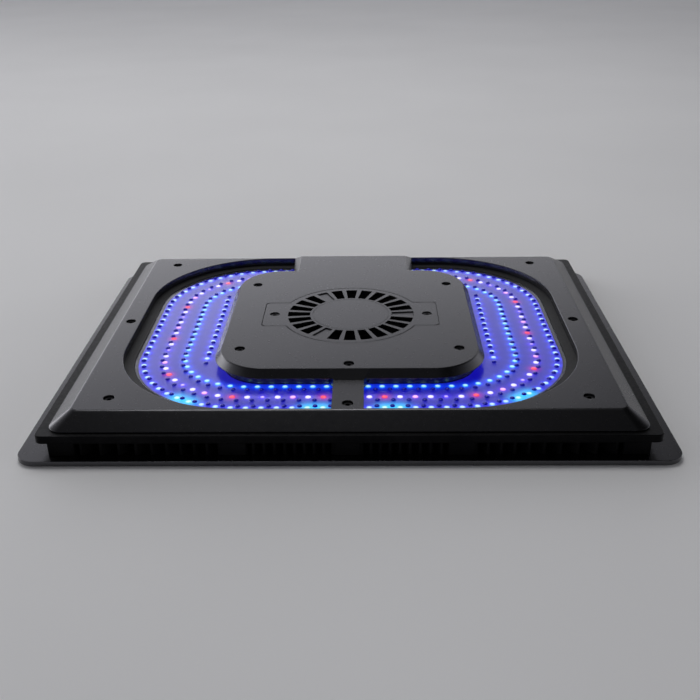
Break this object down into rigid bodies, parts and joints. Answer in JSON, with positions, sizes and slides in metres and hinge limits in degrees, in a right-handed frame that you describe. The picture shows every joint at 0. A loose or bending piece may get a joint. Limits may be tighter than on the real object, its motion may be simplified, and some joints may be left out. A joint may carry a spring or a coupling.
{
  "type": "led aquarium light",
  "caption": "Flat rectangular aquarium light with a sloping metal bezel, tracks of LEDs under a clear cover, a raised fan housing in the middle and radial heat-sink fins.",
  "frame": {"origin": "middle of the back cover's outer face, which the light lies on here and which faces up in use", "axes": "+X along the 370 mm width, +Y towards the edge with the sockets, +Z the way the LEDs shine"},
  "size_m": [0.37, 0.288, 0.0291],
  "materials": {
    "anodised": "satin charcoal anodised aluminium, glossy at a low angle",
    "casting": "black anodised casting",
    "clear_cover": "clear glossy acrylic",
    "led_board": "glossy white solder mask lit blue",
    "led_blue": "lit blue emitter",
    "led_white": "lit white emitter",
    "led_red": "lit red emitter",
    "led_violet": "lit violet emitter",
    "circuit": "green solder mask",
    "black_plastic": "moulded black plastic",
    "seal": "soft black seal",
    "dark_screw": "black oxide steel",
    "bright_steel": "plain steel",
    "insert_brass": "machined brass",
    "magnet": "bonded ferrite"
  },
  "bodies": {
    "housing": {"back_cover": "anodised", "back_screw_1": "dark_screw", "back_screw_2": "dark_screw", "back_screw_3": "dark_screw", "back_screw_4": "dark_screw", "back_screw_5": "dark_screw", "back_screw_6": "dark_screw", "control_board": "circuit", "control_socket": "black_plastic", "cover_screw_front": "dark_screw", "cover_screw_front_left": "dark_screw", "cover_screw_front_right": "dark_screw", "cover_screw_rear_left": "dark_screw", "cover_screw_rear_right": "dark_screw", "fan_access_panel": "anodised", "fan_bearing": "insert_brass", "fan_frame": "black_plastic", "fan_screw_1": "dark_screw", "fan_screw_2": "dark_screw", "fan_screw_3": "dark_screw", "fan_stator": "bright_steel", "frame_screw_front": "dark_screw", "frame_screw_front_left": "dark_screw", "frame_screw_front_right": "dark_screw", "frame_screw_left": "dark_screw", "frame_screw_rear_left": "dark_screw", "frame_screw_rear_right": "dark_screw", "frame_screw_right": "dark_screw", "front_bezel": "anodised", "hanging_insert_1": "insert_brass", "hanging_insert_2": "insert_brass", "hanging_insert_3": "insert_brass", "hanging_insert_4": "insert_brass", "heat_sink": "casting", "led_board_left": "led_board", "led_board_right": "led_board", "lens_cover": "clear_cover", "lens_gasket_inner": "seal", "lens_gasket_outer": "seal", "panel_screw_left": "dark_screw", "panel_screw_right": "dark_screw", "power_inlet": "black_plastic", "supply_lead": "seal"},
    "rotor": {"fan_rotor": "black_plastic", "fan_magnet_ring": "magnet", "fan_shaft": "bright_steel"}
  },
  "joints": [
    {"name": "fan_spin", "type": "hinge", "parent": "housing", "child": "rotor", "pos_m": [0, 0, 0.016], "axis": [0, 0, 1], "continuous": true}
  ]
}
